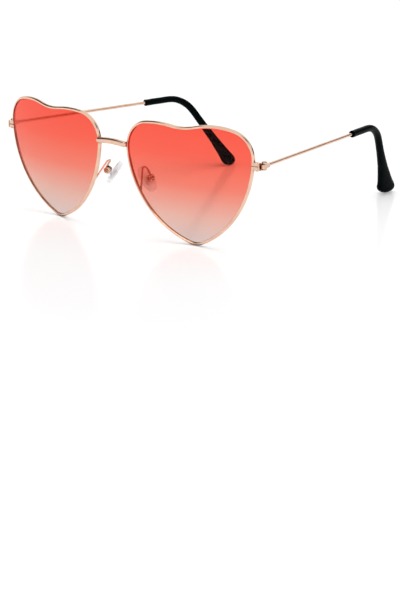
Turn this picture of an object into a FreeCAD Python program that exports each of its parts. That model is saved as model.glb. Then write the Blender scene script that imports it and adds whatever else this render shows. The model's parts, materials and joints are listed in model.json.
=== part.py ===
import FreeCAD, Part
import math
import os
from FreeCAD import Placement, Rotation, Vector

# Heart shaped sunglasses with wire rims, standing open on a table.
# Millimetres and degrees. +Z is up, the lenses face -Y and the temples run back along +Y.
# The wearer's left is +X. Every paired piece is built on the left and mirrored to the right.

# Lens outline, drawn flat: u runs from the lens centre to the temple, v runs up.
LENS_WIDTH = 60.0
LENS_HEIGHT = 50.1
TEMPORAL_CROWN_U = 13.05
NASAL_CROWN_U = -13.25
NASAL_CROWN_DROP = 1.0
DIP_U = -2.05
DIP_DROP = 1.8
DIP_RADIUS = 30.4
TEMPORAL_SIDE_DROP = 11.8
NASAL_SIDE_DROP = 12.9
TEMPORAL_SIDE_RADIUS = 44.0
NASAL_SIDE_RADIUS = 42.4
TIP_U = 1.05
TIP_RADIUS = 7.4

# Lens and rim section.
LENS_CURVE = 130.0
LENS_THICKNESS = 1.2
LENS_PLAY = 0.05
GROOVE_DEPTH = 0.4
RIM_WALL = 0.78
RIM_DEPTH = 1.75
RIM_CROWN = 0.9
LIP_RADIUS = 0.15

# How the two lenses stand to each other.
LENS_SPACING = 75.3
WRAP_ANGLE = 7.3
FRONT_TILT = 6.3

# Gap left where two metal pieces are soldered together.
SOLDER_GAP = 0.02

# Bridge rod, lapped on the front of both rims.
BRIDGE_RADIUS = 1.25
BRIDGE_ARCH = 0.45
BRIDGE_RISE = 2.2
BRIDGE_STANDOFF = 0.65

# Closing block that shuts the split rim round the lens.
SPLIT_DROP = 1.4
SPLIT_GAP = 0.3
BLOCK_OUT = 2.1
BLOCK_LAP = 1.2
BLOCK_DEPTH = 1.7
BLOCK_CORNER = 0.3
LOCK_SCREW_RADIUS = 0.4
LOCK_SCREW_OUT = 1.1
LOCK_HEAD_RADIUS = 0.7
LOCK_HEAD_HEIGHT = 0.4

# Temple hinge with three knuckles on an upright screw.
HINGE_OUT = 2.95
HINGE_BACK = 2.1
HINGE_HEIGHT = 3.0
KNUCKLE_RADIUS = 1.1
MIDDLE_KNUCKLE = 1.6
KNUCKLE_PLAY = 0.05
LEAF_THICKNESS = 0.5
LEAF_PLAY = 0.12
HEEL_LENGTH = 1.9
STOP_GAP = 0.08
TAIL_LENGTH = 3.0
TAIL_WIDTH = 1.9
HINGE_SCREW_RADIUS = 0.55
HINGE_SCREW_PLAY = 0.04
HINGE_HEAD_RADIUS = 0.9
HINGE_HEAD_HEIGHT = 0.3
HINGE_SCREW_TAIL = 0.2
THREAD_PLAY = 0.015
SLOT_WIDTH = 0.28
SLOT_DEPTH = 0.18

# Temple wire and ear tip.
WIRE_RADIUS = 0.7
WIRE_SOCKET = 1.8
TEMPLE_TOE = 8.6
TEMPLE_SLOPE = 0.43
BEND_REACH = 98.0
BEND_ANGLE = 54.5
BEND_LEAN = 10.4
BEND_RADIUS = 18.0
TIP_REACH = 74.8
CORE_DROP = 22.0
SLEEVE_PLAY = 0.05
MOUTH_RADIUS = 1.1
MOUTH_DEPTH = 0.8
SLEEVE_RADIUS = 1.5
ELBOW_RADIUS = 1.65
PADDLE_WIDTH = 9.2
PADDLE_THICKNESS = 2.8
PADDLE_SQUARENESS = 3.0
PADDLE_TWIST = 22.0
PADDLE_END = 3.4
PADDLE_SLANT = 0.45
PADDLE_SET_BACK = 0.6
FLARE_LENGTH = 32.0
FLARE_POWER = 2.2
TIP_STATIONS = 18
END_STATIONS = 5
END_BLUNT = 0.8
SECTION_POINTS = 16

# Nose pad, its holder and the bent arm that carries it.
ARM_RADIUS = 0.4
ARM_DROP = 18.6
ARM_BEND = 0.95
ARM_LOOP_RISE = 5.0
ARM_LOOP_WIDTH = 2.0
PIVOT_OUT = -1.4
PIVOT_BACK = 7.7
PIVOT_RISE = 4.5
PAD_LEAN = 37.0
PAD_SPLAY = 20.0
PAD_LENGTH = 11.6
PAD_WIDTH = 6.0
PAD_THICKNESS = 1.9
PAD_END_RADIUS = 2.2
PAD_EDGE = 0.8
PAD_REACH = 3.0
PAD_RAISE = 1.0
BOX_WIDTH = 2.6
BOX_RADIUS = 1.5
BOX_ROUND = 0.35
BOX_FLOOR = 1.05
LUG_THICKNESS = 1.2
LUG_RADIUS = 0.85
LUG_PLAY = 0.08
INSERT_LENGTH = 5.2
INSERT_WIDTH = 2.8
INSERT_THICKNESS = 0.6
INSERT_PLAY = 0.02
PAD_SCREW_RADIUS = 0.4
PAD_SCREW_PLAY = 0.03
PAD_HEAD_RADIUS = 0.7
PAD_HEAD_HEIGHT = 0.35

UP = Vector(0, 0, 1)
SIDEWAYS = Vector(1, 0, 0)
BACKWARDS = Vector(0, 1, 0)
ORIGIN = Vector(0, 0, 0)

# Distances across the rim section, measured outward from the lens edge.
RIM_OUTER = RIM_WALL + LENS_PLAY
RIM_INNER = LENS_PLAY - GROOVE_DEPTH


def unit(vector):
    return vector * (1.0 / vector.Length)


def flat(u, v):
    """A point of the flat outline, kept in the plane y = 0."""
    return Vector(u, 0, v)


def polar(centre, radius, angle):
    return centre + flat(math.cos(angle), math.sin(angle)) * radius


def bearing(centre, point):
    return math.atan2(point.z - centre.z, point.x - centre.x)


# Lens outline

def half_outline(crown, side, side_radius, dip_centre, tip_centre):
    """Circles of one half of the heart: crown, shoulder and long side, with where they join."""
    towards = math.copysign(1.0, side.x)
    run = abs(crown.x - DIP_U)
    drop = crown.z - (dip_centre.z - DIP_RADIUS)
    crown_radius = (run ** 2 + drop ** 2) / (2 * drop) - DIP_RADIUS
    crown_centre = crown - UP * crown_radius
    across = abs(side.x - crown.x)
    down = crown.z - side.z
    shoulder_radius = (across ** 2 + down ** 2 - 2 * down * crown_radius) / (2 * (across - crown_radius))
    shoulder_centre = side - SIDEWAYS * (towards * shoulder_radius)
    from_shoulder = side_radius - shoulder_radius
    from_tip = side_radius - TIP_RADIUS
    chord = tip_centre - shoulder_centre
    along = (from_shoulder ** 2 - from_tip ** 2 + chord.Length ** 2) / (2 * chord.Length)
    offset = math.sqrt(from_shoulder ** 2 - along ** 2)
    inward = unit(flat(chord.z, -chord.x)) * towards
    side_centre = shoulder_centre + unit(chord) * along + inward * offset
    return {
        "crown": (crown_centre, crown_radius),
        "shoulder": (shoulder_centre, shoulder_radius),
        "side": (side_centre, side_radius),
        "dip_end": dip_centre + unit(crown_centre - dip_centre) * DIP_RADIUS,
        "crown_end": shoulder_centre + unit(shoulder_centre - crown_centre) * shoulder_radius,
        "shoulder_end": shoulder_centre + unit(shoulder_centre - side_centre) * shoulder_radius,
        "side_end": tip_centre + unit(tip_centre - side_centre) * TIP_RADIUS,
    }


top = LENS_HEIGHT / 2
dip_centre = flat(DIP_U, top - DIP_DROP + DIP_RADIUS)
tip_centre = flat(TIP_U, TIP_RADIUS - LENS_HEIGHT / 2)
temporal = half_outline(flat(TEMPORAL_CROWN_U, top), flat(LENS_WIDTH / 2, top - TEMPORAL_SIDE_DROP),
                        TEMPORAL_SIDE_RADIUS, dip_centre, tip_centre)
nasal = half_outline(flat(NASAL_CROWN_U, top - NASAL_CROWN_DROP),
                     flat(-LENS_WIDTH / 2, top - NASAL_SIDE_DROP), NASAL_SIDE_RADIUS, dip_centre, tip_centre)


def flat_arc(circle, start, end):
    """Start, middle and end of an arc shorter than half a turn."""
    centre, radius = circle
    middle = centre + unit(unit(start - centre) + unit(end - centre)) * radius
    return start, middle, end


# The outline runs clockwise as seen from the front, from the dip over the temporal side.
HEART = [
    flat_arc((dip_centre, DIP_RADIUS), nasal["dip_end"], temporal["dip_end"]),
    flat_arc(temporal["crown"], temporal["dip_end"], temporal["crown_end"]),
    flat_arc(temporal["shoulder"], temporal["crown_end"], temporal["shoulder_end"]),
    flat_arc(temporal["side"], temporal["shoulder_end"], temporal["side_end"]),
    flat_arc((tip_centre, TIP_RADIUS), temporal["side_end"], nasal["side_end"]),
    flat_arc(nasal["side"], nasal["side_end"], nasal["shoulder_end"]),
    flat_arc(nasal["shoulder"], nasal["shoulder_end"], nasal["crown_end"]),
    flat_arc(nasal["crown"], nasal["crown_end"], nasal["dip_end"]),
]

# The flat outline is wrapped on the lens sphere by inversion about the far pole of that sphere,
# which keeps every arc an arc of a circle and every tangent join tangent.
SPHERE_CENTRE = BACKWARDS * LENS_CURVE
FAR_POLE = BACKWARDS * (2 * LENS_CURVE)


def on_sphere(point):
    spoke = point - FAR_POLE
    return FAR_POLE + spoke * ((2 * LENS_CURVE) ** 2 / spoke.dot(spoke))


def wrapped_direction(point, direction):
    """Where a direction of the flat outline points after wrapping."""
    spoke = unit(point - FAR_POLE)
    return direction - spoke * (2 * spoke.dot(direction))


def circle_of(start, middle, end):
    """Centre, axis and turn in degrees of the arc through three points."""
    arc = Part.Arc(start, middle, end).toShape()
    first, last = arc.ParameterRange
    return arc.Curve.Center, arc.Curve.Axis, math.degrees(last - first)


class Stretch:
    """One arc of the wrapped outline, with the section plane at its start."""

    def __init__(self, arc):
        start, middle, end = [on_sphere(point) for point in arc]
        self.start = start
        self.centre, self.axis, self.sweep = circle_of(start, middle, end)
        self.front = unit(start - SPHERE_CENTRE)
        self.out = self.front.cross(unit(self.axis.cross(start - self.centre)))

    def at(self, out, front):
        return self.start + self.out * out + self.front * front

    def turned(self, shape):
        return shape.revolve(self.centre, self.axis, self.sweep)


STRETCHES = [Stretch(arc) for arc in HEART]


def ring(section):
    """Solids that make a ring along the outline. section(stretch) gives the edges of its cross-section."""
    faces = [Part.Face(Part.Wire(section(stretch))) for stretch in STRETCHES]
    return [stretch.turned(face) for stretch, face in zip(STRETCHES, faces)]


def rim_section(stretch):
    half = RIM_DEPTH / 2
    lip = LIP_RADIUS
    nick = lip * (1 - math.sqrt(0.5))
    flank = RIM_OUTER - RIM_CROWN
    edges = []

    def line(start, end):
        edges.append(Part.LineSegment(stretch.at(*start), stretch.at(*end)).toShape())

    def arc(start, middle, end):
        edges.append(Part.Arc(stretch.at(*start), stretch.at(*middle), stretch.at(*end)).toShape())

    line((LENS_PLAY, 0), (RIM_INNER, GROOVE_DEPTH))
    line((RIM_INNER, GROOVE_DEPTH), (RIM_INNER, half - lip))
    arc((RIM_INNER, half - lip), (RIM_INNER + nick, half - nick), (RIM_INNER + lip, half))
    line((RIM_INNER + lip, half), (flank, half))
    arc((flank, half), (RIM_OUTER, 0), (flank, -half))
    line((flank, -half), (RIM_INNER + lip, -half))
    arc((RIM_INNER + lip, -half), (RIM_INNER + nick, nick - half), (RIM_INNER, lip - half))
    line((RIM_INNER, lip - half), (RIM_INNER, -GROOVE_DEPTH))
    line((RIM_INNER, -GROOVE_DEPTH), (LENS_PLAY, 0))
    return edges


def rim_space_section(stretch):
    """The rim and the lens edge inside it, with the solder gap: what is cut from soldered pieces."""
    half = RIM_DEPTH / 2 + SOLDER_GAP
    flank = RIM_OUTER - RIM_CROWN + SOLDER_GAP
    inner = RIM_INNER - RIM_DEPTH / 2
    corners = [(flank, -half), (inner, -half), (inner, half), (flank, half)]
    points = [stretch.at(*corner) for corner in corners]
    edges = [Part.LineSegment(a, b).toShape() for a, b in zip(points, points[1:])]
    crown = stretch.at(RIM_OUTER + SOLDER_GAP, 0)
    return edges + [Part.Arc(points[-1], crown, points[0]).toShape()]


def lens_face(radius, offset):
    """The part of a lens sphere inside the outline, moved inward by half the lens thickness."""
    edges = [stretch.turned(Part.Vertex(stretch.at(-LENS_THICKNESS / 2, offset))) for stretch in STRETCHES]
    sphere = Part.Sphere()
    sphere.Center = SPHERE_CENTRE
    sphere.Radius = radius
    whole = sphere.toShape()
    return Part.makeSplitShape(whole, [(Part.Wire(edges).reversed(), whole)])[0][0]


def make_lens():
    half = LENS_THICKNESS / 2
    radius_front = (STRETCHES[0].at(-half, half) - SPHERE_CENTRE).Length
    radius_back = (STRETCHES[0].at(-half, -half) - SPHERE_CENTRE).Length
    faces = [lens_face(radius_front, half), lens_face(radius_back, -half)]
    for stretch in STRETCHES:
        for side in (half, -half):
            bevel = Part.LineSegment(stretch.at(0, 0), stretch.at(-half, side)).toShape()
            faces.append(stretch.turned(bevel))
    shell = Part.makeShell(faces)
    shell.sewShape()
    return Part.makeSolid(shell)


# Small shapes

def rounded_block(low, high, corner):
    """An upright block whose four upright edges are rounded."""
    x0, y0, z0 = low
    x1, y1, z1 = high
    nick = corner * (1 - math.sqrt(0.5))
    edges = []
    corners = [
        ((x1 - corner, y0), (x1 - nick, y0 + nick), (x1, y0 + corner)),
        ((x1, y1 - corner), (x1 - nick, y1 - nick), (x1 - corner, y1)),
        ((x0 + corner, y1), (x0 + nick, y1 - nick), (x0, y1 - corner)),
        ((x0, y0 + corner), (x0 + nick, y0 + nick), (x0 + corner, y0)),
    ]
    for here, after in zip(corners, corners[1:] + corners[:1]):
        start, middle, end = [Vector(x, y, z0) for x, y in here]
        edges.append(Part.Arc(start, middle, end).toShape())
        edges.append(Part.LineSegment(end, Vector(*after[0], z0)).toShape())
    return Part.Face(Part.Wire(edges)).extrude(UP * (z1 - z0))


def block(low, high):
    size = Vector(*high) - Vector(*low)
    return Part.makeBox(size.x, size.y, size.z, Vector(*low))


def upright(radius, x, y, z0, z1):
    return Part.makeCylinder(radius, z1 - z0, Vector(x, y, z0))


def screw(shaft_radius, shaft_length, head_radius, head_height):
    """A slotted screw along -Z, with the underside of its head at the origin."""
    shaft = Part.makeCylinder(shaft_radius, shaft_length, UP * -shaft_length)
    head = Part.makeCylinder(head_radius, head_height)
    top_edge = [edge for edge in head.Edges if abs(edge.CenterOfMass.z - head_height) < 1e-6]
    head = head.makeFillet(head_height / 2, top_edge)
    slot = block((-head_radius, -SLOT_WIDTH / 2, head_height - SLOT_DEPTH),
                 (head_radius, SLOT_WIDTH / 2, head_height))
    return shaft.fuse(head.cut(slot)).removeSplitter().Solids[0]


def rounded_path(points, radius):
    """Straight runs through the points, joined by tangent arcs of one radius."""
    edges = []
    here = points[0]
    for before, corner, after in zip(points, points[1:], points[2:]):
        arriving = unit(corner - before)
        leaving = unit(after - corner)
        half_turn = arriving.getAngle(leaving) / 2
        reach = radius * math.tan(half_turn)
        start = corner - arriving * reach
        end = corner + leaving * reach
        inward = unit(leaving - arriving)
        middle = corner + inward * (radius / math.cos(half_turn) - radius)
        edges.append(Part.LineSegment(here, start).toShape())
        edges.append(Part.Arc(start, middle, end).toShape())
        here = end
    edges.append(Part.LineSegment(here, points[-1]).toShape())
    return Part.Wire(edges)


def tube(points, bend, radius):
    path = rounded_path(points, bend)
    circle = Part.makeCircle(radius, points[0], unit(points[1] - points[0]))
    return path.makePipeShell([Part.Wire(circle)], True, False)


# Front: the left rim and lens, tilted, wrapped and lifted until the heart's tip stands on the table

turn = Rotation(UP, WRAP_ANGLE).multiply(Rotation(SIDEWAYS, FRONT_TILT))
rim_arcs = ring(rim_section)
whole_rim = rim_arcs[0].multiFuse(rim_arcs[1:]).Solids[0]
rim_space = ring(rim_space_section)
lens = make_lens()
whole_rim.Placement = Placement(ORIGIN, turn)
lift = -whole_rim.optimalBoundingBox(False, False).ZMin
lens_place = Placement(Vector(LENS_SPACING / 2, 0, lift), turn)
for shape in [whole_rim, lens] + rim_space:
    shape.Placement = lens_place


class Seat:
    """A place on the left rim: a point on the lens edge, and the directions outward and forward."""

    def __init__(self, circle, angle):
        centre, radius = circle
        point = polar(centre, radius, angle)
        wrapped = on_sphere(point)
        outward = wrapped_direction(point, unit(point - centre))
        self.point = lens_place.multVec(wrapped)
        self.out = turn.multVec(outward)
        self.front = turn.multVec(unit(wrapped - SPHERE_CENTRE))

    def at(self, out, front):
        return self.point + self.out * out + self.front * front


def along_arc(circle, start, distance):
    centre, radius = circle
    return Seat(circle, bearing(centre, start) + distance / radius)


split = along_arc(temporal["side"], temporal["shoulder_end"], -SPLIT_DROP)
bridge_seat = along_arc(nasal["shoulder"], nasal["shoulder_end"], -BRIDGE_RISE)
arm_seat = along_arc(nasal["side"], nasal["shoulder_end"], ARM_DROP)

rim_edge = split.at(RIM_OUTER, 0)
hinge = Vector(rim_edge.x + HINGE_OUT, rim_edge.y + HINGE_BACK, rim_edge.z)
hinge_low = hinge.z - HINGE_HEIGHT / 2
hinge_high = hinge.z + HINGE_HEIGHT / 2
middle_low = hinge.z - MIDDLE_KNUCKLE / 2
middle_high = hinge.z + MIDDLE_KNUCKLE / 2
leaf_inner = rim_edge.x + BLOCK_OUT + SOLDER_GAP
leaf_outer = leaf_inner + LEAF_THICKNESS
block_front = rim_edge.y - BLOCK_DEPTH / 2
block_back = rim_edge.y + BLOCK_DEPTH / 2

pieces = {}


def make_rim():
    saw = block((rim_edge.x - BLOCK_LAP * 2, rim_edge.y - RIM_DEPTH, rim_edge.z - SPLIT_GAP / 2),
                (rim_edge.x + BLOCK_OUT, rim_edge.y + RIM_DEPTH, rim_edge.z + SPLIT_GAP / 2))
    return whole_rim.cut(saw)


def make_lock_block(low, high):
    """One half of the closing block, soldered to one end of the split rim."""
    body = rounded_block((rim_edge.x - BLOCK_LAP, block_front, low),
                         (rim_edge.x + BLOCK_OUT, block_back, high), BLOCK_CORNER)
    hole = upright(LOCK_SCREW_RADIUS + THREAD_PLAY, rim_edge.x + LOCK_SCREW_OUT, rim_edge.y, low, high)
    kept = body.cut(rim_space).cut(hole)
    return max(kept.Solids, key=lambda solid: solid.BoundBox.XMax)


def make_lock_screw():
    """Screwed in from below, through both halves of the closing block."""
    body = screw(LOCK_SCREW_RADIUS, HINGE_HEIGHT, LOCK_HEAD_RADIUS, LOCK_HEAD_HEIGHT)
    foot = Vector(rim_edge.x + LOCK_SCREW_OUT, rim_edge.y, hinge_low - SOLDER_GAP)
    body.Placement = Placement(foot, Rotation(SIDEWAYS, 180))
    return body


def make_hinge_front():
    """The leaf on the closing block, with the upper and lower knuckles."""
    leaf = block((leaf_inner, block_front, hinge_low), (leaf_outer, block_back, hinge_high))
    sweep = upright(KNUCKLE_RADIUS + LEAF_PLAY, hinge.x, hinge.y,
                    middle_low - KNUCKLE_PLAY, middle_high + KNUCKLE_PLAY)
    leaf = leaf.cut(sweep)
    webs = []
    for low, high in ((hinge_low, middle_low - KNUCKLE_PLAY), (middle_high + KNUCKLE_PLAY, hinge_high)):
        webs.append(block((leaf_inner, rim_edge.y, low), (hinge.x, hinge.y, high)))
        webs.append(upright(KNUCKLE_RADIUS, hinge.x, hinge.y, low, high))
    bore = upright(HINGE_SCREW_RADIUS + THREAD_PLAY, hinge.x, hinge.y, hinge_low, hinge_high)
    body = leaf.multiFuse(webs).cut(bore).removeSplitter()
    return body.Solids[0]


toe = Rotation(UP, TEMPLE_TOE)
slope = toe.multiply(Rotation(SIDEWAYS, -TEMPLE_SLOPE))
wire_along = slope.multVec(BACKWARDS)
wire_up = slope.multVec(UP)
inward = slope.multVec(SIDEWAYS * -1)
temple_place = Placement(hinge, toe)
wire_start = hinge + wire_along * (TAIL_LENGTH - WIRE_SOCKET)


def make_hinge_temple():
    """The temple's knuckle, with the heel that stops it open and the tail that holds the wire."""
    half = MIDDLE_KNUCKLE / 2
    knuckle = upright(KNUCKLE_RADIUS, hinge.x, hinge.y, middle_low, middle_high)
    heel = rounded_block((leaf_outer + STOP_GAP, hinge.y - HEEL_LENGTH, middle_low),
                         (hinge.x + KNUCKLE_RADIUS, hinge.y, middle_high), BLOCK_CORNER)
    tail = rounded_block((-TAIL_WIDTH / 2, -BLOCK_CORNER, -half),
                         (TAIL_WIDTH / 2, TAIL_LENGTH, half), BLOCK_CORNER)
    tail.Placement = temple_place
    bore = upright(HINGE_SCREW_RADIUS + HINGE_SCREW_PLAY, hinge.x, hinge.y, middle_low, middle_high)
    socket = Part.makeCylinder(WIRE_RADIUS + SOLDER_GAP, WIRE_SOCKET + WIRE_RADIUS, wire_start, wire_along)
    return knuckle.multiFuse([heel, tail]).cut(bore).cut(socket).removeSplitter().Solids[0]


def make_hinge_screw():
    body = screw(HINGE_SCREW_RADIUS, HINGE_HEIGHT + HINGE_SCREW_TAIL, HINGE_HEAD_RADIUS, HINGE_HEAD_HEIGHT)
    body.Placement = Placement(Vector(hinge.x, hinge.y, hinge_high + SOLDER_GAP), Rotation())
    return body


# Temple: a straight wire that bends down and inward behind the ear

bend_corner = hinge + wire_along * BEND_REACH
bend_lean = math.radians(BEND_LEAN)
bend_side = inward * math.sin(bend_lean) - wire_up * math.cos(bend_lean)
bend_turn = math.radians(BEND_ANGLE)
drop_along = wire_along * math.cos(bend_turn) + bend_side * math.sin(bend_turn)
bend_flat = bend_side.cross(wire_along)
paddle_twist = math.radians(PADDLE_TWIST)
bend_reach = BEND_RADIUS * math.tan(bend_turn / 2)
bend_centre = bend_corner - wire_along * bend_reach + bend_side * BEND_RADIUS
tip_start = hinge + wire_along * TIP_REACH
sleeve_run = BEND_REACH - bend_reach - TIP_REACH
bend_end = sleeve_run + BEND_RADIUS * bend_turn


def between(value, low, high):
    """How far a value lies from low to high, as a smooth step from 0 to 1."""
    share = min(max((value - low) / (high - low), 0.0), 1.0)
    return share ** 3 * (share * (6 * share - 15) + 10)


def tip_section(distance, half_width, half_thickness, squareness, slant, set_back):
    """Closed cross-section of the ear tip at a distance along its middle line."""
    bent = min(max(distance, sleeve_run), bend_end)
    angle = (bent - sleeve_run) / BEND_RADIUS
    back = wire_along * math.sin(angle) - bend_side * math.cos(angle)
    ahead = wire_along * math.cos(angle) + bend_side * math.sin(angle)
    centre = bend_centre + back * BEND_RADIUS + ahead * (distance - bent)
    across = back * math.cos(paddle_twist) + bend_flat * math.sin(paddle_twist)
    through = bend_flat * math.cos(paddle_twist) - back * math.sin(paddle_twist)
    slanted = across + ahead * slant
    centre = centre + slanted * set_back
    points = []
    for step in range(SECTION_POINTS):
        turned = 2 * math.pi * step / SECTION_POINTS
        wide = math.copysign(abs(math.cos(turned)) ** (2 / squareness), math.cos(turned))
        thick = math.copysign(abs(math.sin(turned)) ** (2 / squareness), math.sin(turned))
        points.append(centre + slanted * (half_width * wide) + through * (half_thickness * thick))
    curve = Part.BSplineCurve()
    curve.interpolate(Points=points, PeriodicFlag=True)
    return Part.Wire(curve.toShape())


def ear_tip_body(length):
    """A round sleeve round the bend that widens below it into a flat paddle with a rounded end."""
    round_from = length - PADDLE_END
    stations = [(round_from * step / TIP_STATIONS, 1.0) for step in range(TIP_STATIONS)]
    for step in range(END_STATIONS):
        angle = math.pi / 2 * step / (END_STATIONS - END_BLUNT)
        stations.append((round_from + PADDLE_END * math.sin(angle), math.cos(angle)))
    sections = []
    for distance, taper in stations:
        stout = SLEEVE_RADIUS + (ELBOW_RADIUS - SLEEVE_RADIUS) * between(distance, sleeve_run, bend_end)
        flared = min(max(1 - (round_from - distance) / FLARE_LENGTH, 0.0), 1.0)
        flare = flared ** FLARE_POWER
        half_width = stout + (PADDLE_WIDTH / 2 - stout) * flare
        half_thickness = stout + (PADDLE_THICKNESS / 2 - stout) * flare
        squareness = 2 + (PADDLE_SQUARENESS - 2) * flare
        sections.append(tip_section(distance, half_width * taper, half_thickness * math.sqrt(taper),
                                    squareness, PADDLE_SLANT * flare, PADDLE_SET_BACK * (1 - taper)))
    return Part.makeLoft(sections, True, False)


def rest_length():
    """How long the ear tip is along its middle line for its end to stand on the table."""
    steep = drop_along.z * -1
    guess = bend_end - bend_reach + bend_corner.z / steep
    lowest = ear_tip_body(guess).optimalBoundingBox(False, False).ZMin
    return guess + lowest / steep


tip_length = rest_length()
core_end = bend_corner + drop_along * CORE_DROP


def make_temple_wire():
    return tube([wire_start, bend_corner, core_end], BEND_RADIUS, WIRE_RADIUS)


def make_ear_tip():
    beyond = core_end + drop_along * SLEEVE_PLAY
    bore = tube([wire_start, bend_corner, beyond], BEND_RADIUS, WIRE_RADIUS + SLEEVE_PLAY)
    mouth = Part.makeCylinder(MOUTH_RADIUS, MOUTH_DEPTH, tip_start, wire_along)
    return ear_tip_body(tip_length).cut(bore).cut(mouth).Solids[0]


# Bridge

def make_bridge():
    end = bridge_seat.at(RIM_INNER + BRIDGE_RADIUS, RIM_DEPTH / 2 + BRIDGE_STANDOFF)
    mirrored = Vector(-end.x, end.y, end.z)
    crest = Vector(0, end.y, end.z + BRIDGE_ARCH)
    centre, axis, sweep = circle_of(mirrored, crest, end)
    along = unit(axis.cross(mirrored - centre))
    section = Part.Face(Part.Wire(Part.makeCircle(BRIDGE_RADIUS, mirrored, along)))
    rod = section.revolve(centre, axis, sweep)
    ends = [Part.makeSphere(BRIDGE_RADIUS, point) for point in (mirrored, end)]
    rod = rod.multiFuse(ends).removeSplitter()
    both_rims = rim_space + [on_the_right(solid) for solid in rim_space]
    return rod.cut(both_rims).Solids[0]


def on_the_right(shape):
    return shape.mirror(ORIGIN, SIDEWAYS)


# Nose pad: its face leans and splays to lie along the side of a nose

lean = math.radians(PAD_LEAN)
splay = math.radians(PAD_SPLAY)
pad_up = Vector(-math.sin(lean), 0, math.cos(lean))
pad_level = Vector(-math.cos(lean), 0, -math.sin(lean))
pad_face = pad_level * math.cos(splay) + BACKWARDS * math.sin(splay)
pad_across = pad_up.cross(pad_face)
arm_root = arm_seat.at((RIM_INNER + RIM_OUTER) / 2, -RIM_DEPTH / 2)
pivot = arm_root + Vector(PIVOT_OUT, PIVOT_BACK - RIM_DEPTH / 2, PIVOT_RISE)
pad_place = Placement(FreeCAD.Matrix(pad_across.x, pad_up.x, pad_face.x, pivot.x,
                                     pad_across.y, pad_up.y, pad_face.y, pivot.y,
                                     pad_across.z, pad_up.z, pad_face.z, pivot.z))


def on_pad(shape):
    """Places a shape drawn with X across the pad, Y up it and Z out of its face."""
    shape.Placement = pad_place
    return shape


def cross_pin(radius, length):
    return Part.makeCylinder(radius, length, SIDEWAYS * (-length / 2), SIDEWAYS)


def oval(length, width, end_radius):
    """A closed oval of four tangent arcs, its long axis along Y."""
    end_centre = length / 2 - end_radius
    half = width / 2
    side_radius = (end_centre ** 2 + half ** 2 - end_radius ** 2) / (2 * (half - end_radius))
    side_centre = half - side_radius
    lean_out = math.atan2(end_centre, -side_centre)
    join = Vector(end_radius * math.cos(lean_out), end_centre + end_radius * math.sin(lean_out), 0)
    joins = [Vector(x * join.x, y * join.y, 0) for x, y in ((1, -1), (1, 1), (-1, 1), (-1, -1))]
    middles = [Vector(half, 0, 0), Vector(0, length / 2, 0), Vector(-half, 0, 0), Vector(0, -length / 2, 0)]
    edges = []
    for start, middle, end in zip(joins, middles, joins[1:] + joins[:1]):
        edges.append(Part.Arc(start, middle, end).toShape())
    return Part.Face(Part.Wire(edges))


pad_back = PAD_REACH - PAD_THICKNESS / 2
insert_middle = PAD_REACH - INSERT_THICKNESS / 2


def insert_body(play):
    """The lug that hangs on the pad screw, and the plate that the pad is moulded round."""
    across = INSERT_WIDTH / 2 + play
    along = INSERT_LENGTH / 2 + play
    plate = block((-across, PAD_RAISE - along, insert_middle - play),
                  (across, PAD_RAISE + along, insert_middle + INSERT_THICKNESS + play))
    half = LUG_THICKNESS / 2 + play
    eye = cross_pin(LUG_RADIUS + play, 2 * half)
    stem = block((-half, -LUG_RADIUS - play, 0), (half, LUG_RADIUS + play, insert_middle))
    return plate.multiFuse([eye, stem]).removeSplitter()


def make_pad_insert():
    return on_pad(insert_body(0).cut(cross_pin(PAD_SCREW_RADIUS + PAD_SCREW_PLAY, BOX_WIDTH)).Solids[0])


def make_nose_pad():
    body = oval(PAD_LENGTH, PAD_WIDTH, PAD_END_RADIUS).extrude(UP * PAD_THICKNESS)
    body.translate(BACKWARDS * PAD_RAISE + UP * pad_back)
    rounded = [edge for edge in body.Edges if abs(edge.tangentAt(edge.FirstParameter).z) < 0.5]
    body = body.makeFillet(PAD_EDGE, rounded)
    return on_pad(body.cut(insert_body(INSERT_PLAY)).Solids[0])


def make_pad_box():
    """A round barrel about the pad screw, slotted from the pad's side for the lug."""
    body = cross_pin(BOX_RADIUS, BOX_WIDTH)
    rims = [edge for edge in body.Edges if abs(abs(edge.CenterOfMass.x) - BOX_WIDTH / 2) < 1e-6]
    body = body.makeFillet(BOX_ROUND, rims)
    half = LUG_THICKNESS / 2 + LUG_PLAY
    slot = block((-half, -BOX_RADIUS, -BOX_FLOOR), (half, BOX_RADIUS, BOX_RADIUS))
    hole = cross_pin(PAD_SCREW_RADIUS + THREAD_PLAY, BOX_WIDTH)
    return on_pad(body.cut(slot).cut(hole).Solids[0])


def make_pad_screw():
    """Runs across the barrel, with its head on the end that faces forward."""
    body = screw(PAD_SCREW_RADIUS, BOX_WIDTH, PAD_HEAD_RADIUS, PAD_HEAD_HEIGHT)
    head_seat = Placement(SIDEWAYS * (BOX_WIDTH / 2 + SOLDER_GAP), Rotation(UP, SIDEWAYS))
    body.Placement = pad_place.multiply(head_seat)
    return body


def make_pad_arm():
    """Bent wire: up behind the rim, over a tight loop and down on the round of the barrel."""
    landing = pad_place.multVec(UP * (ARM_RADIUS - BOX_RADIUS))
    over_box = landing + pad_up * ARM_LOOP_RISE
    over_rim = over_box - BACKWARDS * ARM_LOOP_WIDTH
    wire = tube([arm_seat.at(0, 0), over_rim, over_box, landing], ARM_BEND, ARM_RADIUS)
    barrel = on_pad(cross_pin(BOX_RADIUS + SOLDER_GAP, BOX_WIDTH))
    return max(wire.cut(rim_space + [barrel]).Solids, key=lambda solid: solid.Volume)


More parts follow.
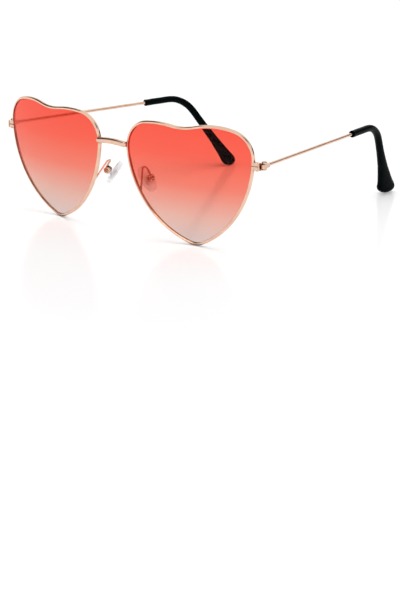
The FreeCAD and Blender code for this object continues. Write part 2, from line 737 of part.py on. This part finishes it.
pieces["rim"] = make_rim()
pieces["lens"] = lens
pieces["lock_block_upper"] = make_lock_block(rim_edge.z + SPLIT_GAP / 2, hinge_high)
pieces["lock_block_lower"] = make_lock_block(hinge_low, rim_edge.z - SPLIT_GAP / 2)
pieces["lock_screw"] = make_lock_screw()
pieces["hinge_front"] = make_hinge_front()
pieces["hinge_temple"] = make_hinge_temple()
pieces["hinge_screw"] = make_hinge_screw()
pieces["temple_wire"] = make_temple_wire()
pieces["ear_tip"] = make_ear_tip()
pieces["pad_arm"] = make_pad_arm()
pieces["pad_box"] = make_pad_box()
pieces["pad_screw"] = make_pad_screw()
pieces["pad_insert"] = make_pad_insert()
pieces["nose_pad"] = make_nose_pad()

nodes = {"bridge": make_bridge()}
for name, shape in pieces.items():
    nodes[name + "_left"] = shape
    nodes[name + "_right"] = on_the_right(shape)

# The origin lies on the table, under the middle of the whole pair of glasses.
box = Part.makeCompound(list(nodes.values())).optimalBoundingBox(False, False)
to_origin = BACKWARDS * (-(box.YMin + box.YMax) / 2)

os.makedirs("parts", exist_ok=True)
for name, shape in nodes.items():
    shape.translate(to_origin)
    shape.exportStep("parts/" + name + ".step")
    print(name, "valid", shape.isValid(), "solids", len(shape.Solids), "volume", round(shape.Volume, 3))

print("hinge axis", hinge + to_origin)
print("pad pivot", pivot + to_origin, "pad axis", pad_across)
print("box", box.XMin, box.XMax, box.YMin + to_origin.y, box.YMax + to_origin.y, box.ZMin, box.ZMax)
print("tip", tip_length, "lift", lift, "shift", to_origin.y)
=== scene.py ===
import json
import math
import bpy
from mathutils import Matrix, Vector


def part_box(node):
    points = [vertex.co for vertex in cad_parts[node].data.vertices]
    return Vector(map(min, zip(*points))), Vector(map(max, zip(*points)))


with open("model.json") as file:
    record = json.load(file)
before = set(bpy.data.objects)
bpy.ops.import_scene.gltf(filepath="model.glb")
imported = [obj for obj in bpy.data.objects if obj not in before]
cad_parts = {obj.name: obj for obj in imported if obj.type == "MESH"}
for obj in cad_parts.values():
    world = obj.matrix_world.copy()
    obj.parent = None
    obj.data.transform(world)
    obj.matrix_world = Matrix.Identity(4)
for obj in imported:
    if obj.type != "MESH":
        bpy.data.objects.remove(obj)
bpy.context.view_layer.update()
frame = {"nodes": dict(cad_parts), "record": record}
nodes = frame["nodes"]
scene = bpy.context.scene
scene.view_settings.view_transform = "Standard"

WHITE = (1.0, 1.0, 1.0)
NOISE_LOW = 0.3
NOISE_HIGH = 0.7
BUMP_STRENGTH = 0.05


# Node helpers

def new_material(name):
    material = bpy.data.materials.new(name)
    material.use_nodes = True
    tree = material.node_tree
    tree.nodes.clear()
    output = tree.nodes.new("ShaderNodeOutputMaterial")
    shader = tree.nodes.new("ShaderNodeBsdfPrincipled")
    tree.links.new(shader.outputs["BSDF"], output.inputs["Surface"])
    return material, tree, shader


def object_position(tree):
    return tree.nodes.new("ShaderNodeTexCoord").outputs["Object"]


def noise(tree, position, scale, detail=3.0):
    node = tree.nodes.new("ShaderNodeTexNoise")
    node.inputs["Scale"].default_value = scale
    node.inputs["Detail"].default_value = detail
    tree.links.new(position, node.inputs["Vector"])
    return node.outputs["Fac"]


def ramp(tree, factor, stops):
    """A colour ramp from (place, colour) pairs."""
    node = tree.nodes.new("ShaderNodeValToRGB")
    points = node.color_ramp.elements
    while len(points) < len(stops):
        points.new(0.5)
    for point, (place, colour) in zip(points, stops):
        point.position = place
        point.color = (*colour, 1.0)
    tree.links.new(factor, node.inputs["Fac"])
    return node.outputs["Color"]


def two_tones(tree, factor, first, second, low=NOISE_LOW, high=NOISE_HIGH):
    """Two colours that the middle of a noise blends."""
    return ramp(tree, factor, [(low, first), (high, second)])


def map_range(tree, value, source, target=(0.0, 1.0)):
    """Maps one range of values to another, and holds it at the ends."""
    node = tree.nodes.new("ShaderNodeMapRange")
    node.inputs["From Min"].default_value, node.inputs["From Max"].default_value = source
    node.inputs["To Min"].default_value, node.inputs["To Max"].default_value = target
    tree.links.new(value, node.inputs["Value"])
    return node.outputs["Result"]


def spread(tree, factor, target):
    """Maps the middle of a noise to a range of values."""
    return map_range(tree, factor, (NOISE_LOW, NOISE_HIGH), target)


def combine(tree, operation, first, second):
    node = tree.nodes.new("ShaderNodeMath")
    node.operation = operation
    tree.links.new(first, node.inputs[0])
    tree.links.new(second, node.inputs[1])
    return node.outputs["Value"]


def bump(tree, shader, height, distance):
    node = tree.nodes.new("ShaderNodeBump")
    node.inputs["Strength"].default_value = BUMP_STRENGTH
    node.inputs["Distance"].default_value = distance
    tree.links.new(height, node.inputs["Height"])
    tree.links.new(node.outputs["Normal"], shader.inputs["Normal"])


# Materials

# The sockets for colours on a mix node
MIX_FACTOR = 0
MIX_FIRST = 6
MIX_SECOND = 7
MIX_RESULT = 2

METAL_TONE_SCALE = 260.0
METAL_TONE_ENDS = (0.32, 0.68)
METAL_POLISH_SCALE = 900.0
METAL_POLISH_DETAIL = 4.0
METAL_GRAIN_SCALE = 2600.0
METAL_GRAIN_DETAIL = 2.0
METAL_GRAIN_DEPTH = 0.00004
# Painted shade: the plate colour is mixed towards this brown where ambient occlusion finds a spot enclosed,
# in crevices and between parts.
CREVICE_PAINTED_SHADE = (0.16, 0.07, 0.045)
CREVICE_REACH = 0.0016
CREVICE_SAMPLES = 8
CREVICE_OPENNESS = (0.4, 0.95)

# The red fade from the top is the lens's gradient tint; the greyer colour towards the tip is painted
# reflection of the floor.
LENS_TINT_AND_PAINTED_REFLECTION = [
    (0.0, (0.62, 0.54, 0.52)),
    (0.22, (0.72, 0.44, 0.37)),
    (0.5, (0.83, 0.21, 0.15)),
    (0.75, (0.89, 0.125, 0.082)),
    (1.0, (0.90, 0.10, 0.065)),
]
LENS_WIPE_SCALE = 120.0
LENS_ROUGHNESS = (0.0, 0.02)
LENS_IOR = 1.15

TIP_DARK = (0.0004, 0.0014, 0.0016)
TIP_LIGHT = (0.0010, 0.0032, 0.0036)
TIP_TONE_SCALE = 300.0
TIP_SHEEN_SCALE = 700.0
TIP_ROUGHNESS = (0.22, 0.30)
TIP_SPECULAR = 0.02
TIP_PEEL_SCALE = 900.0
TIP_PEEL_DETAIL = 2.0
TIP_PEEL_DEPTH = 0.0001

PAD_DARK = (0.84, 0.84, 0.85)
PAD_LIGHT = (0.88, 0.88, 0.89)
PAD_TONE_SCALE = 350.0
PAD_CLOUD_SCALE = 500.0
PAD_ROUGHNESS = (0.36, 0.42)
PAD_IOR = 1.10
PAD_TRANSMISSION = 0.80


def plated_metal(name, light, dark, roughness):
    """Polished rose gold plate with slight changes of tone and polish, fine grain, and brown painted shade
    that ambient occlusion puts in its crevices.
    """
    material, tree, shader = new_material(name)
    position = object_position(tree)
    tone = two_tones(tree, noise(tree, position, METAL_TONE_SCALE), dark, light, *METAL_TONE_ENDS)
    # Painted shade in the crevices: ambient occlusion mixes the plate colour towards dark brown.
    crevice = tree.nodes.new("ShaderNodeAmbientOcclusion")
    crevice.samples = CREVICE_SAMPLES
    crevice.inputs["Distance"].default_value = CREVICE_REACH
    shade = tree.nodes.new("ShaderNodeMix")
    shade.data_type = "RGBA"
    shade.inputs[MIX_FIRST].default_value = (*CREVICE_PAINTED_SHADE, 1.0)
    tree.links.new(map_range(tree, crevice.outputs["AO"], CREVICE_OPENNESS), shade.inputs[MIX_FACTOR])
    tree.links.new(tone, shade.inputs[MIX_SECOND])
    tree.links.new(shade.outputs[MIX_RESULT], shader.inputs["Base Color"])
    polish = noise(tree, position, METAL_POLISH_SCALE, METAL_POLISH_DETAIL)
    tree.links.new(spread(tree, polish, roughness), shader.inputs["Roughness"])
    bump(tree, shader, noise(tree, position, METAL_GRAIN_SCALE, METAL_GRAIN_DETAIL), METAL_GRAIN_DEPTH)
    shader.inputs["Metallic"].default_value = 1.0
    return material


def tinted_lens(name):
    """Clear plastic with a dye that fades from the top of the lens to its tip; the greyer colour at the tip
    is painted reflection of the floor.
    """
    material, tree, shader = new_material(name)
    position = object_position(tree)
    height = tree.nodes.new("ShaderNodeSeparateXYZ")
    tree.links.new(position, height.inputs["Vector"])
    low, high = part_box("lens_left")
    share = map_range(tree, height.outputs["Z"], (low.z, high.z))
    # Painted reflection: the greyer low end of this ramp at the lens tip stands in for the floor's
    # reflection.
    tree.links.new(ramp(tree, share, LENS_TINT_AND_PAINTED_REFLECTION), shader.inputs["Base Color"])
    wipe = noise(tree, position, LENS_WIPE_SCALE)
    tree.links.new(spread(tree, wipe, LENS_ROUGHNESS), shader.inputs["Roughness"])
    shader.inputs["IOR"].default_value = LENS_IOR
    shader.inputs["Transmission Weight"].default_value = 1.0
    return material


def black_plastic(name):
    """Black moulded plastic with little shine and a faint orange peel."""
    material, tree, shader = new_material(name)
    position = object_position(tree)
    tone = two_tones(tree, noise(tree, position, TIP_TONE_SCALE), TIP_DARK, TIP_LIGHT)
    tree.links.new(tone, shader.inputs["Base Color"])
    sheen = noise(tree, position, TIP_SHEEN_SCALE)
    tree.links.new(spread(tree, sheen, TIP_ROUGHNESS), shader.inputs["Roughness"])
    bump(tree, shader, noise(tree, position, TIP_PEEL_SCALE, TIP_PEEL_DETAIL), TIP_PEEL_DEPTH)
    shader.inputs["Specular IOR Level"].default_value = TIP_SPECULAR
    return material


def clear_pad(name):
    """Clear, slightly cloudy pad material."""
    material, tree, shader = new_material(name)
    position = object_position(tree)
    tone = two_tones(tree, noise(tree, position, PAD_TONE_SCALE), PAD_DARK, PAD_LIGHT)
    tree.links.new(tone, shader.inputs["Base Color"])
    cloud = noise(tree, position, PAD_CLOUD_SCALE)
    tree.links.new(spread(tree, cloud, PAD_ROUGHNESS), shader.inputs["Roughness"])
    shader.inputs["IOR"].default_value = PAD_IOR
    shader.inputs["Transmission Weight"].default_value = PAD_TRANSMISSION
    return material


finishes = {
    "gold_wire": plated_metal("rose_gold_plate", light=(0.83, 0.57, 0.43), dark=(0.75, 0.50, 0.37),
                              roughness=(0.10, 0.17)),
    "gold_screw": plated_metal("rose_gold_screw", light=(0.74, 0.50, 0.37), dark=(0.66, 0.43, 0.31),
                               roughness=(0.16, 0.26)),
    "lens_tint": tinted_lens("gradient_tint_painted_reflection"),
    "ear_tip_black": black_plastic("black_moulded_tip"),
    "clear_pad": clear_pad("clear_pad_plastic"),
}
SEE_THROUGH = ("lens_tint", "clear_pad")
for entry in frame["record"]["subparts"]:
    piece = nodes[entry["node"]]
    for slot in piece.material_slots:
        slot.material = finishes[entry["material_slot"]]
    piece.visible_shadow = entry["material_slot"] not in SEE_THROUGH


# Camera at the photograph's three-quarter view. Azimuth 0 is in front, and 90 is at the wearer's left.

def direction(azimuth, elevation):
    """The unit vector towards a place round the glasses, from angles in degrees."""
    turn = math.radians(azimuth)
    rise = math.radians(elevation)
    return Vector((math.sin(turn) * math.cos(rise), -math.cos(turn) * math.cos(rise), math.sin(rise)))


IMAGE_WIDTH = 400
IMAGE_HEIGHT = 600
AZIMUTH = 40.47
ELEVATION = 12.69
ROLL = math.radians(-0.36)
DISTANCE = 0.68706
AIM = Vector((0.02285, -0.03770, 0.02515))
FOCAL_PIXELS = 1663.75
AXIS_PIXEL = (201.5, 169.5)
SENSOR = 36.0
NEAREST = 0.01
FARTHEST = 50.0

back = direction(AZIMUTH, ELEVATION)
level = direction(AZIMUTH + 90, 0)
upward = back.cross(level)
right = level * math.cos(ROLL) + upward * math.sin(ROLL)
upward = back.cross(right)
place = AIM + back * DISTANCE
camera_data = bpy.data.cameras.new("camera")
camera = bpy.data.objects.new("camera", camera_data)
scene.collection.objects.link(camera)
camera.matrix_world = Matrix((
    (right.x, upward.x, back.x, place.x),
    (right.y, upward.y, back.y, place.y),
    (right.z, upward.z, back.z, place.z),
    (0, 0, 0, 1)))
camera_data.sensor_width = SENSOR
camera_data.lens = FOCAL_PIXELS * SENSOR / IMAGE_HEIGHT
camera_data.shift_x = (IMAGE_WIDTH / 2 - AXIS_PIXEL[0]) / IMAGE_HEIGHT
camera_data.shift_y = (AXIS_PIXEL[1] - IMAGE_HEIGHT / 2) / IMAGE_HEIGHT
camera_data.clip_start = NEAREST
camera_data.clip_end = FARTHEST
scene.camera = camera


# White studio

WORLD_LIGHT = 0.45
WORLD_SEEN = 1.0

FLOOR_SIZE = 12.0
FLOOR_DARK = (0.84, 0.84, 0.84)
FLOOR_LIGHT = (0.86, 0.86, 0.86)
FLOOR_TONE_SCALE = 3.0
FLOOR_ROUGHNESS = 0.14
FLOOR_IOR = 1.17
FLOOR_REACH = (0.2, 1.4)
FLOOR_GLOW = (0.13, 0.55)

CARD_DISTANCE = 1.1
CARD_DARK = (0.085, 0.075, 0.07)
CARD_LIGHT = (0.11, 0.10, 0.09)
CARD_TONE_SCALE = 8.0
CARD_ROUGHNESS = 0.9


def seen_directly(tree):
    """1 for rays that show the background: from the camera, in a reflection or through a lens."""
    path = tree.nodes.new("ShaderNodeLightPath")
    seen = path.outputs["Is Camera Ray"]
    for name in ("Is Glossy Ray", "Is Transmission Ray"):
        seen = combine(tree, "MAXIMUM", seen, path.outputs[name])
    return seen


def plate(name, centre, facing, width, height, material):
    """A flat rectangle of the stage that faces a point."""
    mesh = bpy.data.meshes.new(name)
    half_w, half_h = width / 2, height / 2
    corners = [(-half_w, -half_h, 0), (half_w, -half_h, 0), (half_w, half_h, 0), (-half_w, half_h, 0)]
    mesh.from_pydata(corners, [], [(0, 1, 2, 3)])
    mesh.materials.append(material)
    piece = bpy.data.objects.new(name, mesh)
    scene.collection.objects.link(piece)
    piece.location = centre
    piece.rotation_mode = "QUATERNION"
    piece.rotation_quaternion = (Vector(facing) - Vector(centre)).to_track_quat("Z", "Y")
    return piece


def white_floor(name):
    """A pale, slightly glossy table that stays white to the camera farther away from the lamps."""
    material, tree, shader = new_material(name)
    position = object_position(tree)
    tone = two_tones(tree, noise(tree, position, FLOOR_TONE_SCALE), FLOOR_DARK, FLOOR_LIGHT)
    tree.links.new(tone, shader.inputs["Base Color"])
    away = tree.nodes.new("ShaderNodeVectorMath")
    away.operation = "LENGTH"
    tree.links.new(position, away.inputs[0])
    glow = map_range(tree, away.outputs["Value"], FLOOR_REACH, FLOOR_GLOW)
    tree.links.new(combine(tree, "MULTIPLY", glow, seen_directly(tree)), shader.inputs["Emission Strength"])
    shader.inputs["Emission Color"].default_value = (*WHITE, 1.0)
    shader.inputs["Roughness"].default_value = FLOOR_ROUGHNESS
    shader.inputs["IOR"].default_value = FLOOR_IOR
    return material


def card_paper(name):
    material, tree, shader = new_material(name)
    tone = two_tones(tree, noise(tree, object_position(tree), CARD_TONE_SCALE), CARD_DARK, CARD_LIGHT)
    tree.links.new(tone, shader.inputs["Base Color"])
    shader.inputs["Roughness"].default_value = CARD_ROUGHNESS
    return material


paper = card_paper("dark_card")


def dark_card(name, azimuth, elevation, width, height, through_lenses=False):
    """A card outside the picture that shows only as a dark streak in metal, or only through a lens."""
    card = plate(name, AIM + direction(azimuth, elevation) * CARD_DISTANCE, AIM, width, height, paper)
    card.visible_camera = False
    card.visible_diffuse = False
    card.visible_shadow = False
    card.visible_glossy = not through_lenses
    card.visible_transmission = through_lenses


def soft_box(name, centre, width, height, watts):
    data = bpy.data.lights.new(name, "AREA")
    data.shape = "RECTANGLE"
    data.size = width
    data.size_y = height
    data.energy = watts
    lamp = bpy.data.objects.new(name, data)
    scene.collection.objects.link(lamp)
    lamp.location = centre
    lamp.rotation_mode = "QUATERNION"
    lamp.rotation_quaternion = (AIM - Vector(centre)).to_track_quat("-Z", "Y")
    lamp.visible_glossy = False


world = bpy.data.worlds.new("studio")
scene.world = world
world.use_nodes = True
world_tree = world.node_tree
background = world_tree.nodes["Background"]
background.inputs["Color"].default_value = (*WHITE, 1.0)
world_strength = map_range(world_tree, seen_directly(world_tree), (0.0, 1.0), (WORLD_LIGHT, WORLD_SEEN))
world_tree.links.new(world_strength, background.inputs["Strength"])

plate("floor", (0, 0, 0), (0, 0, 1), FLOOR_SIZE, FLOOR_SIZE, white_floor("white_floor"))

dark_card("card_left", azimuth=-75, elevation=37, width=0.9, height=0.65)
dark_card("card_right", azimuth=70, elevation=45, width=0.9, height=0.4)
for number, azimuth in enumerate((110, 143, 176)):
    dark_card("card_back_" + str(number), azimuth, elevation=14, width=0.66, height=0.4)
for number, azimuth in enumerate((150, 185, 220)):
    dark_card("card_inner_" + str(number), azimuth, elevation=28, width=0.68, height=0.7, through_lenses=True)

soft_box("key_above", (0.1, 0.05, 0.75), width=0.8, height=0.7, watts=4.2)
soft_box("fill_left", (-0.75, -0.45, 0.45), width=0.5, height=0.6, watts=1.8)
soft_box("fill_right", (0.85, -0.25, 0.4), width=0.4, height=0.6, watts=1.6)
